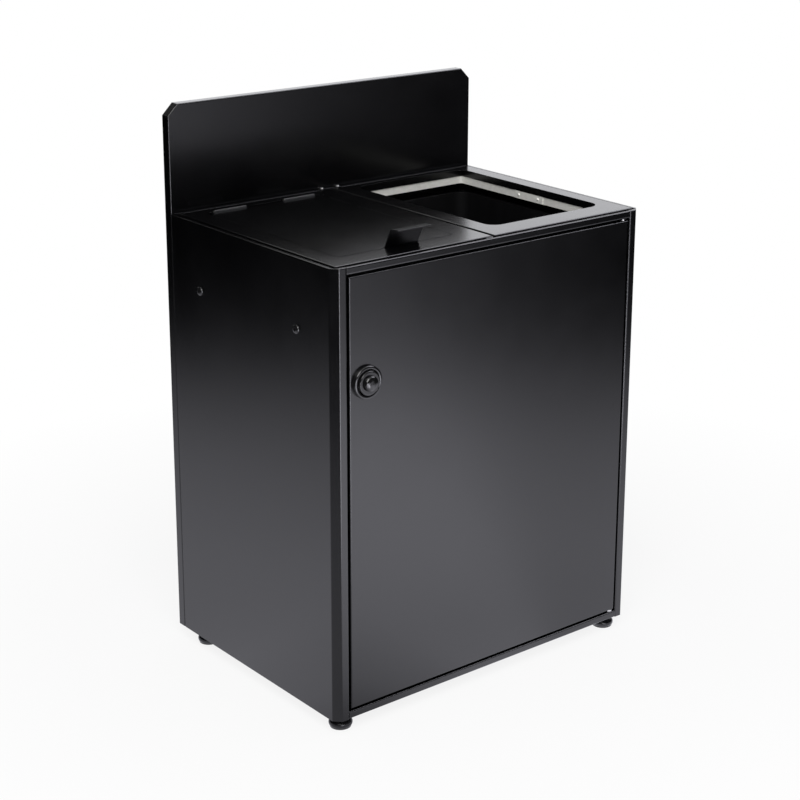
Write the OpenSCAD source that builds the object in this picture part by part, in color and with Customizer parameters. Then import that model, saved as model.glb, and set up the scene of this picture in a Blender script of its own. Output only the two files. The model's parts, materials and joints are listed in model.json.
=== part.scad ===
// Two-stream recycling cabinet: a folded sheet cabinet on levelling feet, with a pivoted front door,
// a lidded throat and an open throat in its top, a liner under each, and a raised board at the back.
// Millimetres, +Z up, front towards -Y, origin on the floor under the middle of the bounding box.

/* [Cabinet] */
// Width over the side panels
body_w = 610; // [600:5:700]
// Depth from the front plane to the back of the back panel
body_d = 440; // [430:5:520]
// Height of the cabinet, without feet and board
body_h = 706; // [640:1:800]
// Thickness of the folded steel sheet
sheet_t = 1.5; // [1.2:0.1:1.7]
// Inside radius of every bend
bend_in = 0.8; // [0.5:0.1:1.2]
// Rounding of the outer edges of pans and rims
edge_r = 1.8; // [1:0.1:2.2]
// Leg of the 45 degree fold at the front corners
corner_cut = 11; // [6:0.5:13]
// Width of the rear flange of each side panel
rear_flange = 20; // [16:1:26]
// Width of the bottom flange of each side panel
foot_flange = 20; // [14:1:20]

/* [Front frame] */
// Width of each stile beside the door
stile_w = 24; // [22:0.5:26]
// Height of the sill under the door
sill_h = 12; // [11:0.5:16]
// Height of the header over the door
header_h = 11.5; // [11:0.5:18]
// Depth from the front plane to the door stop
stop_y = 18; // [17.5:0.5:19]
// Width of the door stop
stop_w = 14; // [10:0.5:14]
// Depth of the flange under the sill
sill_flange = 10; // [6:0.5:14]

/* [Board] */
// Height of the board over the cabinet
board_rise = 172; // [120:1:240]
// Depth of the back panel's pan
board_t = 16; // [12:0.5:22]
// Leg of the cut at the board's top corners
board_cut = 18; // [10:0.5:30]
// Width of the hems round the back of the pan
board_hem = 12; // [8:0.5:16]
// Width of the stiffener across the back panel
brace_w = 60; // [40:1:80]
// Width of each flange of the stiffener
brace_flange = 14; // [10:0.5:18]

/* [Top] */
// Width of the rim at the sides and the back
rim_w = 6; // [5:0.5:7]
// Width of the rim at the front
front_rim = 5; // [5:0.5:6]
// Gap between the rim and the decks
deck_gap = 4; // [1:0.1:4.5]
// Gap between the two decks
seam_gap = 5; // [1:0.1:6]
// Height of the decks over the rim
deck_proud = 1.5; // [0.9:0.1:1.6]
// Depth of the skirt round each deck
deck_skirt = 8; // [7:0.5:8]
// Width of the ledges that carry the decks
ledge_w = 14; // [10:0.5:16]
// Width of the tab that joins the left deck to the front rim
tab_w = 14; // [8:0.5:20]
// Width of the rail under the seam
centre_rail_w = 36; // [30:1:36]
// Depth of the rail under the seam
centre_rail_h = 18; // [12:0.5:20]
// Width of the lips along the bottom of that rail
centre_lip = 10; // [6:0.5:12]
// Depth of the web behind the rear rim
rear_web = 40; // [20:1:60]
// Length of the clip over the seam
deck_clip_l = 44; // [30:1:60]

/* [Throats and lid] */
// Distance from the open throat to the side of the cabinet
throat_side = 37; // [35:0.5:54]
// Distance from the open throat to the back panel
throat_rear = 25; // [24:0.5:60]
// Distance from the front plane to the open throat
throat_front = 53; // [52:1:60]
// Corner radius of the open throat
throat_r = 22; // [12:0.5:30]
// Corner radius of the skirt inside the open throat
skirt_r = 3; // [1:0.5:8]
// Depth of the skirts inside both throats
throat_skirt = 12; // [12:0.5:14]
// Distance from the lid to the side of the cabinet
lid_side = 45.5; // [45:0.5:54]
// Distance from the lid to the back panel
lid_rear = 39; // [39:0.5:60]
// Distance from the front plane to the lid
lid_front = 50; // [48:0.5:54]
// Corner radius of the lid
lid_r = 10; // [6:0.5:14]
// Depth of the lid's folded edge
lid_edge = 8; // [7:0.5:8]
// Gap round the lid
lid_gap = 2; // [1:0.1:2.2]
// Width of the ledge under the lid
lid_ledge = 10; // [8:0.5:12]
// Radius of the bumpers under the lid
lid_bumper_r = 4; // [3:0.25:4.5]
// Height of the steel collar under the skirts
collar_h = 13; // [8:0.5:16]
// Thickness of the steel collar
collar_t = 1.2; // [0.8:0.1:1.4]
// Length of the clip over the collar's joint
clip_l = 70; // [40:1:90]
// Radius of the rivets in that clip
rivet_r = 1.5; // [1:0.1:2]
// Distance from the ends of the lid to its bumpers
lid_bumper_in = 40; // [20:1:80]

/* [Lid handle] */
// Width of the handle
grip_w = 62; // [40:1:80]
// Distance of the handle's middle from the lid's middle
grip_side = 8; // [0:0.5:30]
// Height of the handle over the lid
grip_h = 31; // [24:0.5:36]
// How far the handle leans forward
grip_lean = 17; // [10:0.5:20]
// Depth of the handle's lip
grip_lip = 17; // [12:0.5:20]
// How far the lip rises towards its front
grip_rise = 1.2; // [0:0.1:3]
// Length of the handle's foot under the lid
grip_foot = 22; // [16:0.5:30]

/* [Lid hinges] */
// Length of each hinge
hinge_l = 60; // [40:1:70]
// Distance from the lid's rounded corner to each hinge
hinge_inset = 1; // [0.5:0.5:8]
// Radius of the knuckles
knuckle_r = 2.6; // [2.4:0.1:2.7]
// Radius of the hinge pins
hinge_pin_r = 1.5; // [1.2:0.1:1.6]
// Width of the gap behind the lid
hinge_gap = 8; // [8:0.1:8.4]
// Thickness of the hinge leaves
leaf_t = 1; // [0.8:0.1:1]

/* [Door] */
// Gap round the door
door_gap = 4; // [2.8:0.1:4.4]
// Depth of the door's pan
door_d = 15; // [13:0.5:15]
// Width of the hems round the back of the door
door_hem = 12; // [8:0.5:12]
// Width of the door's stiffener
rib_w = 80; // [60:1:110]
// Distance of the pivot axis from the door's edge and from its face
pivot_in = 6; // [5.6:0.1:6.2]
// Radius of the pivot pins
pivot_r = 3; // [2.5:0.1:3]
// Wall of the pivot bushes
bush_wall = 1.2; // [0.8:0.1:1.2]
// Radius of the rubber bumpers behind the door
bumper_r = 5; // [3:0.5:6]
// Distance from the ends of the door to its bumpers
bumper_in = 80; // [40:1:160]

/* [Knob and latch] */
// Distance of the knob's axis from the outer face of the side panel
knob_in = 58; // [57:0.5:64]
// Height of the knob's axis over the cabinet's bottom edge
knob_z = 530; // [400:1:580]
// How far the knob stands out of the door
knob_stand = 17.5; // [15:0.5:22]
// How far the knob goes in
knob_travel = 9; // [6:0.5:9]
// Outer radius of the bezel
bezel_r = 25.5; // [25:0.5:27]
// Height of the bezel's bulge
bezel_h = 6.5; // [4:0.5:8]
// Radius of the knob's collar
collar_r = 18.5; // [17:0.25:18.5]
// Radius of the knob's dome
dome_r = 12; // [9:0.5:13]
// Radius of the knob's stem
stem_r = 5; // [4:0.25:5]
// Thickness of the latch bolt
bolt_t = 6; // [4:0.25:6]
// Height of the latch bolt
bolt_h = 12; // [8:0.5:12]
// Length of the latch bolt
bolt_l = 28; // [20:0.5:32]
// Angle of the bevel at the bolt's tip
bolt_bevel = 30; // [20:1:40]
// Thickness of the strike plate
strike_t = 1.2; // [0.8:0.1:1.5]
// Width of the lock's case
case_w = 40; // [38:0.5:48]
// Height of the lock's case
case_h = 48; // [46:0.5:60]
// Depth of the lock's case
case_d = 20; // [19:0.5:24]
// Wire thickness of the knob's spring
spring_wire = 1.2; // [0.8:0.1:1.4]

/* [Feet] */
// Height of the cabinet's bottom edge over the floor
foot_h = 22; // [20:0.5:30]
// Radius of the foot pads
pad_r = 18.5; // [14:0.5:22]
// Distance of the foot axes from the sides and the front
foot_in = 27; // [27:0.5:36]
// Distance of the rear foot axes from the back
foot_rear = 48; // [40:1:70]
// Radius of the threaded stems
thread_r = 4; // [3:0.5:4]
// Radius of the foot nuts over their corners
foot_nut_r = 7.4; // [6:0.1:7.4]
// Height of the foot nuts
foot_nut_h = 6.5; // [5:0.5:8]
// Height of the stems over the cabinet's bottom edge
stem_top = 30; // [26:1:40]

/* [Liners] */
// Distance from each liner's rim to the side of the cabinet
liner_side = 24; // [22:0.5:32]
// Distance from each liner's rim to the middle of the cabinet
liner_inner = 23; // [21:0.5:30]
// Distance from the front plane to the liners
liner_front = 46; // [42:1:48]
// Distance from the back panel to the liners
liner_rear = 16; // [15:0.5:40]
// Distance from the top of the cabinet to the liners
liner_top = 39; // [38:0.5:160]
// Wall thickness of the liners
liner_t = 3; // [2:0.25:3.5]
// Width of the rim round the top
liner_rim = 4; // [3:0.5:5]
// Depth of the rim's turned edge
liner_lip = 16; // [10:0.5:24]
// Size of the base against the top
liner_taper = 0.9; // [0.84:0.01:0.96]
// Corner radius of the liners
liner_r = 30; // [20:1:36]
// Width of the hand holes
hand_w = 96; // [80:1:120]
// Height of the hand holes
hand_h = 24; // [20:1:30]
// Corner radius of the hand holes
hand_r = 9.5; // [4:0.5:9.5]

/* [Guide rails and bolts] */
// Distance from the top of the cabinet to the side bolts
bolt_drop = 107; // [80:1:260]
// Distance from the front plane to the front bolts
bolt_front = 90; // [60:1:120]
// Distance from the rear bolts to the back of the cabinet
bolt_rear = 95; // [80:1:140]
// Radius of the side bolts' shanks
shank_r = 4; // [3:0.25:4]
// Radius of the side bolts' heads
head_r = 7.2; // [6:0.1:8]
// Width of the guide rails
guide_w = 40; // [30:1:50]
// Depth of the guide rails
guide_t = 11; // [8:0.5:11]
// How far the guide rails run past the bolts
guide_over = 34; // [20:1:40]
// Radius of the small screws' heads
screw_r = 4; // [3:0.25:4.5]
// Number of screws down each side of the back panel
back_screws_n = 5; // [3:1:8]
// Distance of the end screws from the cabinet's bottom and top
back_screw_in = 45; // [30:1:80]

/* [Clearances] */
// Radial clearance of shafts in their bores
fit = 0.06; // [0.03:0.01:0.09]
// Clearance between parts that move past each other
play = 0.3; // [0.25:0.05:0.4]
// Radial clearance of screws in their holes
screw_play = 0.1; // [0.05:0.05:0.2]

/* [Hidden] */

coat = [0.06, 0.06, 0.065];
gloss = [0.03, 0.03, 0.035];
steel = [0.72, 0.73, 0.74];
nylon = [0.8, 0.8, 0.78];
rubber = [0.09, 0.09, 0.09];
plastic = [0.1, 0.1, 0.11];

t = sheet_t;
m = sheet_t / 2;
over = 1;
margin = 1;
bend_steps = 3;
round_steps = 4;
corner_steps = 8;
hex_ratio = 1.9;

x_out = body_w / 2;
y_front = (knob_stand - body_d) / 2;
y_rear = y_front + body_d;
y_pan = y_rear - board_t;
z_base = foot_h;
z_top = foot_h + body_h;
z_board = z_top + board_rise;
z_floor = z_base + sill_h;
y_stop = y_front + stop_y;

deck_top = z_top + deck_proud;
z_ledge = deck_top - deck_skirt;
deck_y = y_front + front_rim + deck_gap;
deck_d = y_pan - rim_w - deck_gap - deck_y;
deck_w = x_out - rim_w - deck_gap - seam_gap / 2;

door_w = body_w - 2 * (stile_w + door_gap);
door_z = z_floor + door_gap;
door_h = z_top - header_h - door_gap - door_z;
pivot = [door_w / 2 - pivot_in, y_front + pivot_in];
bush_r = pivot_r + fit + bush_wall;
bush_flange_r = pivot_in - margin / 2;
bush_flange_t = 1.2;
bush_over = 1.2;
pin_root = 12;
pin_collar_h = 5;

throat_x = (x_out - liner_side + liner_inner) / 2;
throat_y = y_front + throat_front;
throat_w = 2 * (x_out - throat_side - throat_x);
throat_d = y_pan - throat_rear - throat_y;
lid_y = y_front + lid_front;
lid_back = y_pan - lid_rear;
lid_w = 2 * (x_out - lid_side - throat_x);
lid_d = lid_back - lid_y;
grip_x = grip_side - throat_x - grip_w / 2;
hinge_y = lid_back + hinge_gap / 2;
hinge_z = deck_top + margin / 2;
hinge_in = lid_r + hinge_inset;
hinge_x = [-throat_x - lid_w / 2 + hinge_in, -throat_x + lid_w / 2 - hinge_in - hinge_l];
knuckles = 5;
well_w = lid_w + 2 * lid_gap;
well_d = lid_d + lid_gap + hinge_gap;
well_y = lid_y - lid_gap;
z_lid_ledge = deck_top - throat_skirt + t;
lid_bumper_h = deck_top - lid_edge - play - z_lid_ledge;
z_skirt = deck_top - throat_skirt;
z_collar = z_skirt - collar_h;
notch_d = t + bend_in + margin;
rivet_sink = 1.2;
rivet_dome_r = 3;
right_clip_x = throat_x + throat_w / 2 + t;
left_clip_x = -throat_x - well_w / 2 + lid_ledge + collar_t;
clip_y = throat_y + throat_d / 2;
clip_screw_r = rim_w / 2.4;
clip_screw_in = 6;

knob = [knob_in - x_out, y_front, z_base + knob_z];
barrel_r = collar_r + margin / 2;
barrel_wall = 1.9;
barrel_d = 12;
bezel_nut_t = 5;
bezel_nut_wall = 4;
case_left = -x_out + stile_w + stop_w + door_gap;
dome_h = 7;
neck_in = 1.4;
groove_h = 1.2;
collar_edge = 2;
stem_over = 6;
bolt_y = y_stop + t + strike_t + 2 * play;
bolt_zc = knob[2] + stem_r + 2 * margin + bolt_h / 2;
spring_r = 8.5;
spring_turns = 3.5;
spring_n = 24;
wire_n = 6;
collar_back = barrel_d - spring_wire * (spring_turns + 1) - margin - knob_travel - play;

foot_spots = [
    [-x_out + foot_in, y_front + foot_in], [x_out - foot_in, y_front + foot_in],
    [-x_out + foot_in, y_rear - foot_rear], [x_out - foot_in, y_rear - foot_rear]
];
pad_h = 13;
neck_h = 3;
pad_edge = 2;
pad_from = -40;
pad_turn = 100;

liner_y = y_front + liner_front;
liner_w = x_out - liner_side - liner_inner;
liner_d = y_pan - liner_rear - liner_y;
liner_h = z_top - liner_top - z_floor;
side_bolt_y = [y_front + bolt_front, y_rear - bolt_rear];
bolt_span = side_bolt_y[1] - side_bolt_y[0];
side_bolt_z = z_top - bolt_drop;
nut_h = 6;
hand_drop = 14;
back_screw_x = x_out - rear_flange / 2 - m;

// Paths, arcs and sections

function unit(v) = v / norm(v);
function left_of(v) = [-v[1], v[0]];
function backwards(list) = [for (i = [len(list) - 1:-1:0]) list[i]];
function arc(centre, r, from, turn, n) =
    [for (i = [0:n]) centre + r * [cos(from + turn * i / n), sin(from + turn * i / n)]];

// The bend that replaces the corner b between the points a and c
function bend(a, b, c, r) =
    let (p = unit(a - b), q = unit(c - b), half = acos(p * q) / 2,
         middle = b + unit(p + q) * r / sin(half),
         s = b + p * r / tan(half) - middle, e = b + q * r / tan(half) - middle)
    arc(middle, r, atan2(s[1], s[0]), atan2(s[0] * e[1] - s[1] * e[0], s * e), bend_steps);

function bent(path, r) = [
    path[0],
    for (i = [1:len(path) - 2]) each bend(path[i - 1], path[i], path[i + 1], r),
    path[len(path) - 1]
];

// The path moved sideways by d
function beside(path, d) = [
    for (i = [0:len(path) - 1])
        let (k = max(1, i), j = min(len(path) - 1, i + 1),
             before = left_of(unit(path[k] - path[k - 1])),
             after = left_of(unit(path[j] - path[j - 1])),
             n = unit(before + after))
        path[i] + n * d / (n * before)
];

// Section of a folded sheet whose middle runs along the path
module fold(path) {
    middle = bent(path, bend_in + m);
    polygon(concat(beside(middle, m), backwards(beside(middle, -m))));
}

module along_x(x, length) {
    translate([x, 0, 0]) rotate([90, 0, 90]) linear_extrude(length) children();
}

module along_y(y, length) {
    translate([0, y + length, 0]) rotate([90, 0, 0]) linear_extrude(length) children();
}

module along_z(z, length) {
    translate([0, 0, z]) linear_extrude(length) children();
}

// What is cut from an edge at the origin, whose solid lies towards +x and -y
module edge_cut(r) {
    polygon(concat([[r, over], [-over, over], [-over, -r]], arc([r, -r], r, 180, -90, round_steps)));
}

function rounded_rect(w, d, r) = concat(
    arc([w / 2 - r, d / 2 - r], r, 0, 90, corner_steps),
    arc([r - w / 2, d / 2 - r], r, 90, 90, corner_steps),
    arc([r - w / 2, r - d / 2], r, 180, 90, corner_steps),
    arc([w / 2 - r, r - d / 2], r, 270, 90, corner_steps)
);

module mirrored_pair() {
    children();
    mirror([1, 0, 0]) children();
}

// A hexagon with its corners at the radius r
module hexagon(r) {
    circle(r, $fn = 6);
}

// A shaft along +Y from the point p
module rod_y(p, r, length, n = 48) {
    translate(p) rotate([-90, 0, 0]) cylinder(length, r, r, $fn = n);
}

// A round section turned about the Y axis through the point p: x is the radius, y runs backwards
module turned_y(p, n = 96) {
    translate(p) rotate([-90, 0, 0]) rotate_extrude($fn = n) children();
}

// Cabinet

module side_sheet() {
    cut_m = corner_cut + (sqrt(2) - 1) * m;
    side = -x_out + m;
    front = y_front + m;
    jamb = -x_out + stile_w - m;
    difference() {
        along_z(z_base, body_h) fold([
            [-x_out + rear_flange, y_pan - m], [side, y_pan - m], [side, y_front + cut_m],
            [-x_out + cut_m, front], [jamb, front], [jamb, y_stop + m],
            [-x_out + stile_w + stop_w, y_stop + m]
        ]);
        translate([jamb - t, y_front + t + bend_in, z_base - over]) {
            cube([stop_w + 2 * t + over, stop_y, sill_h + over]);
        }
        translate([-x_out + stile_w, y_front + t + bend_in, z_top - header_h - stop_w]) {
            cube([stop_w + over, stop_y, header_h + stop_w + over]);
        }
        translate([jamb - t, y_front + front_rim, z_ledge]) {
            cube([stop_w + 2 * t + over, stop_y, deck_skirt + over]);
        }
    }
}

// The rim over the side and the stile, the ledge for the deck, and the flange at the bottom
module side_rim() {
    cut_m = corner_cut + (sqrt(2) - 1) * m;
    inner = -x_out + rim_w - m;
    along_z(z_top - t, t) difference() {
        polygon([
            [-x_out + m, y_pan - m], [-x_out + m, y_front + cut_m], [-x_out + cut_m, y_front + m],
            [-x_out + stile_w, y_front + m], [-x_out + stile_w, y_pan - m]
        ]);
        translate([-x_out + rim_w, y_front + front_rim]) square([stile_w, body_d]);
    }
    along_y(y_front + corner_cut, y_pan - y_front - corner_cut) fold([
        [inner, z_top - m], [inner, z_ledge - m], [-x_out + rim_w + ledge_w, z_ledge - m]
    ]);
    translate([-x_out + m, y_front + corner_cut, z_base]) {
        cube([foot_flange - m, y_pan - y_front - corner_cut, t]);
    }
}

module side_panel() {
    difference() {
        union() {
            side_sheet();
            side_rim();
        }
        along_y(y_front - over, body_d) translate([-x_out, z_top]) edge_cut(edge_r);
        along_x(-x_out - over, stile_w + 2 * over) translate([y_front, z_top]) edge_cut(edge_r);
        for (y = side_bolt_y) {
            translate([-x_out - over, y, side_bolt_z]) rotate([0, 90, 0]) {
                cylinder(t + 2 * over, r = shank_r + screw_play, $fn = 48);
            }
        }
        back_screw_holes();
    }
}

module left_side_panel() {
    color(coat) side_panel();
}

module right_side_panel() {
    color(coat) mirror([1, 0, 0]) side_panel();
}

function back_screw_z(i) = z_base + back_screw_in + i * (body_h - 2 * back_screw_in) / (back_screws_n - 1);
function shank_of(head) = 0.6 * head;

module back_screw_holes() {
    for (i = [0:back_screws_n - 1]) {
        p = [-back_screw_x, y_pan - t - over, back_screw_z(i)];
        rod_y(p, shank_of(screw_r) + screw_play, 2 * t + 2 * over, 32);
    }
}

// Outline of the back panel, seen from the front and drawn in by d
function board_outline(d) =
    let (cut = board_cut - (2 - sqrt(2)) * d, x = x_out - d, top = z_board - d)
    [[-x, z_base + d], [x, z_base + d], [x, top - cut], [x - cut, top], [cut - x, top], [-x, top - cut]];

module back_panel() {
    leg = board_cut * sqrt(2) / 2;
    color(coat) difference() {
        along_y(y_pan, board_t) polygon(board_outline(0));
        along_y(y_pan + t, board_t - 2 * t) polygon(board_outline(t));
        along_y(y_rear - t - over, t + 2 * over) polygon(board_outline(board_hem));
        along_x(-x_out - over, body_w + 2 * over) translate([y_pan, z_board]) edge_cut(edge_r);
        mirrored_pair() {
            along_z(z_base - over, z_board - z_base + 2 * over) {
                translate([-x_out, y_pan]) rotate(90) edge_cut(edge_r);
            }
            translate([-x_out + board_cut / 2, 0, z_board - board_cut / 2]) rotate([0, -45, 0]) {
                along_x(-leg - 2 * over, 2 * leg + 4 * over) translate([y_pan, 0]) edge_cut(edge_r);
            }
            back_screw_holes();
        }
    }
}

// Hat section across the back of the panel, where the board leaves the cabinet
module back_stiffener() {
    skin = y_pan + t + m;
    ridge = y_rear - t - m;
    half = brace_w / 2;
    end = back_screw_x - screw_r - margin;
    color(coat) along_x(-end, 2 * end) fold([
        [skin, z_top - half - brace_flange], [skin, z_top - half], [ridge, z_top - half],
        [ridge, z_top + half], [skin, z_top + half], [skin, z_top + half + brace_flange]
    ]);
}

module base_panel() {
    back = y_pan - t - bend_in;
    color(coat) difference() {
        union() {
            along_y(y_stop + t, back - y_stop - t) fold([
                [-x_out + t + m, z_base + t], [-x_out + t + m, z_floor - m],
                [x_out - t - m, z_floor - m], [x_out - t - m, z_base + t]
            ]);
            translate([-x_out + rear_flange, back - t, z_base + t]) {
                cube([body_w - 2 * rear_flange, t, sill_h - t - m]);
            }
        }
        for (p = foot_spots) {
            translate([p[0], p[1], z_floor - t - over]) cylinder(t + 2 * over, r = thread_r + play, $fn = 48);
        }
    }
}

module sill_rail() {
    color(coat) difference() {
        along_x(-x_out + stile_w, body_w - 2 * stile_w) fold([
            [y_front + sill_flange, z_base + m], [y_front + m, z_base + m],
            [y_front + m, z_floor - m], [y_stop + t, z_floor - m]
        ]);
        translate([pivot[0], pivot[1], z_floor - t - over]) {
            cylinder(t + 2 * over, r = bush_r + screw_play, $fn = 48);
        }
    }
}

module header_rail() {
    under = z_top - header_h + m;
    color(coat) difference() {
        along_x(-x_out + stile_w, body_w - 2 * stile_w) {
            fold([
                [y_stop + m, z_top - header_h - stop_w], [y_stop + m, under], [y_front + m, under],
                [y_front + m, z_top - m], [y_front + front_rim - m, z_top - m],
                [y_front + front_rim - m, z_ledge - m], [y_front + front_rim + ledge_w, z_ledge - m]
            ]);
        }
        translate([pivot[0], pivot[1], z_top - header_h - over]) {
            cylinder(t + 2 * over, r = bush_r + screw_play, $fn = 48);
        }
    }
}

// The rim along the board's foot, and the ledge for the decks' back edges
module rear_rail() {
    color(coat) difference() {
        along_x(-x_out + rim_w + ledge_w, body_w - 2 * (rim_w + ledge_w)) fold([
            [y_pan - m, z_top - rear_web], [y_pan - m, z_top - m], [y_pan - rim_w + m, z_top - m],
            [y_pan - rim_w + m, z_ledge - m], [y_pan - rim_w - ledge_w, z_ledge - m]
        ]);
        clip_screw_holes();
    }
}

module centre_rail() {
    front = max(y_stop + t, y_front + front_rim + ledge_w);
    half = centre_rail_w / 2 - m;
    color(coat) along_y(front, y_pan - rim_w - ledge_w - front) fold([
        [centre_lip - half, z_ledge - centre_rail_h + m], [-half, z_ledge - centre_rail_h + m],
        [-half, z_ledge - m], [half, z_ledge - m],
        [half, z_ledge - centre_rail_h + m], [half - centre_lip, z_ledge - centre_rail_h + m]
    ]);
}

// Decks

// A deck's pan with its corner at the front left, open below
module deck_pan(x) {
    difference() {
        translate([x, deck_y, deck_top - deck_skirt]) cube([deck_w, deck_d, deck_skirt]);
        translate([x + t, deck_y + t, deck_top - deck_skirt - over]) {
            cube([deck_w - 2 * t, deck_d - 2 * t, deck_skirt - t + over]);
        }
        along_y(deck_y - over, deck_d + 2 * over) {
            translate([x, deck_top]) edge_cut(edge_r);
            translate([x + deck_w, deck_top]) mirror([1, 0]) edge_cut(edge_r);
        }
        along_x(x - over, deck_w + 2 * over) {
            translate([deck_y, deck_top]) edge_cut(edge_r);
            translate([deck_y + deck_d, deck_top]) mirror([1, 0]) edge_cut(edge_r);
        }
    }
}

module well_outline(d) {
    translate([-throat_x, well_y + well_d / 2]) {
        polygon(rounded_rect(well_w - 2 * d, well_d - 2 * d, lid_r + lid_gap - min(d, lid_gap)));
    }
}

module throat_outline(d, r = skirt_r) {
    translate([throat_x, throat_y + throat_d / 2]) {
        polygon(rounded_rect(throat_w + 2 * d, throat_d + 2 * d, r + d));
    }
}

module left_deck() {
    color(coat) difference() {
        union() {
            deck_pan(-x_out + rim_w + deck_gap);
            along_z(z_skirt, throat_skirt - m) well_outline(-t);
            translate([-seam_gap / 2 - tab_w, y_front + front_rim, z_top - t]) {
                cube([tab_w, deck_gap + t, t]);
            }
        }
        along_z(z_lid_ledge, throat_skirt + over) well_outline(0);
        along_z(z_skirt - over, throat_skirt) well_outline(lid_ledge);
    }
}

// The skirt is nearly square, and the sheet over it has the rounded opening
module right_deck() {
    color(coat) difference() {
        union() {
            deck_pan(seam_gap / 2);
            along_z(z_skirt, throat_skirt - m) throat_outline(t);
        }
        along_z(z_skirt - over, throat_skirt - t + over) throat_outline(0);
        along_z(z_skirt, throat_skirt + over) throat_outline(0, throat_r);
    }
}

module right_collar() {
    color(steel) along_z(z_collar, deck_top - t - z_collar) difference() {
        throat_outline(t + collar_t);
        throat_outline(t);
    }
}

module left_collar() {
    color(steel) along_z(z_collar, collar_h + t) difference() {
        well_outline(lid_ledge);
        well_outline(lid_ledge + collar_t);
    }
}

// Plates over the joints of the two collars
module collar_clips() {
    color(steel) {
        translate([right_clip_x - collar_t, clip_y - clip_l / 2, z_collar]) clip_plate();
        translate([left_clip_x, clip_y - clip_l / 2, z_collar]) clip_plate();
    }
}

module clip_plate() {
    difference() {
        cube([collar_t, clip_l, collar_h]);
        for (y = [clip_l / 6, clip_l * 5 / 6]) {
            translate([-over, y, collar_h / 2]) rotate([0, 90, 0]) {
                cylinder(collar_t + 2 * over, r = rivet_r + screw_play, $fn = 32);
            }
        }
    }
}

// Domed rivets through the clips, seated in their holes
module collar_rivets() {
    color(steel) for (y = [clip_y - clip_l / 3, clip_y + clip_l / 3]) {
        translate([right_clip_x, y, z_collar + collar_h / 2]) rotate([0, -90, 0]) rivet();
        translate([left_clip_x, y, z_collar + collar_h / 2]) rotate([0, 90, 0]) rivet();
    }
}

module rivet() {
    from = asin(rivet_sink / rivet_dome_r);
    cylinder(2 * collar_t, r = rivet_r, $fn = 32);
    translate([0, 0, collar_t]) rotate_extrude($fn = 48) {
        polygon(concat([[0, 0]], arc([0, -rivet_sink], rivet_dome_r, from, 90 - from, round_steps)));
    }
}

// Liners

module liner(x) {
    y = liner_y + liner_d / 2;
    wall_w = liner_w - 2 * liner_rim;
    wall_d = liner_d - 2 * liner_rim;
    wall_r = liner_r - liner_rim;
    translate([x, y, z_floor]) difference() {
        union() {
            translate([0, 0, liner_h]) mirror([0, 0, 1]) linear_extrude(liner_h, scale = liner_taper) {
                polygon(rounded_rect(wall_w, wall_d, wall_r));
            }
            translate([0, 0, liner_h - liner_t]) linear_extrude(liner_t) {
                polygon(rounded_rect(liner_w, liner_d, liner_r));
            }
            translate([0, 0, liner_h - liner_lip]) linear_extrude(liner_lip) difference() {
                polygon(rounded_rect(liner_w, liner_d, liner_r));
                polygon(rounded_rect(liner_w - liner_t, liner_d - liner_t, liner_r - liner_t / 2));
            }
        }
        translate([0, 0, liner_h + over]) mirror([0, 0, 1]) {
            linear_extrude(liner_h + over - liner_t, scale = liner_taper) {
                polygon(rounded_rect(wall_w - 2 * liner_t, wall_d - 2 * liner_t, wall_r - liner_t));
            }
        }
        translate([0, -liner_d, liner_h - liner_lip - hand_drop - hand_h / 2]) rotate([-90, 0, 0]) {
            linear_extrude(2 * liner_d) polygon(rounded_rect(hand_w, hand_h, hand_r));
        }
    }
}

module left_liner() {
    color(plastic) liner(-throat_x);
}

module right_liner() {
    color(plastic) liner(throat_x);
}

// Guide rails and their bolts

module guide_rail() {
    wall = -x_out + t;
    y = side_bolt_y[0] - guide_over;
    difference() {
        along_y(y, bolt_span + 2 * guide_over) translate([wall, side_bolt_z]) fold([
            [guide_t, -guide_w / 2 + m], [m, -guide_w / 2 + m], [m, guide_w / 2 - m],
            [guide_t, guide_w / 2 - m]
        ]);
        for (p = side_bolt_y) {
            translate([wall - over, p, side_bolt_z]) rotate([0, 90, 0]) {
                cylinder(t + 2 * over, r = shank_r + screw_play, $fn = 48);
            }
        }
    }
}

module left_guide_rail() {
    color(coat) guide_rail();
}

module right_guide_rail() {
    color(coat) mirror([1, 0, 0]) guide_rail();
}

// Button head with a hexagonal socket, and its shank, along +Z from the face it bears on
module button_bolt() {
    head_h = head_r / 2;
    difference() {
        union() {
            translate([0, 0, -2 * t - nut_h]) cylinder(2 * t + nut_h, r = shank_r, $fn = 48);
            rotate_extrude($fn = 64) polygon([
                [0, 0], [head_r, 0], [head_r, head_h * 0.25], [head_r * 0.93, head_h * 0.55],
                [head_r * 0.75, head_h * 0.85], [head_r * 0.5, head_h], [0, head_h]
            ]);
        }
        translate([0, 0, head_h * 0.35]) linear_extrude(head_h) hexagon(head_r * 0.42);
    }
}

module side_bolts() {
    color(gloss) mirrored_pair() for (y = side_bolt_y) {
        translate([-x_out, y, side_bolt_z]) rotate([0, -90, 0]) button_bolt();
    }
}

module side_nuts() {
    color(steel) mirrored_pair() for (y = side_bolt_y) {
        translate([-x_out + 2 * t, y, side_bolt_z]) rotate([0, 90, 0]) linear_extrude(nut_h) difference() {
            hexagon(hex_ratio * shank_r);
            circle(shank_r + screw_play, $fn = 48);
        }
    }
}

module pan_screw(r, length) {
    translate([0, 0, -length]) cylinder(length, r = shank_of(r), $fn = 32);
    difference() {
        rotate_extrude($fn = 48) polygon([[0, 0], [r, 0], [r, 0.35 * r], [0.75 * r, 0.6 * r], [0, 0.6 * r]]);
        translate([0, 0, 0.3 * r]) linear_extrude(r) square([1.1 * r, 0.28 * r], center = true);
        translate([0, 0, 0.3 * r]) linear_extrude(r) square([0.28 * r, 1.1 * r], center = true);
    }
}

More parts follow.
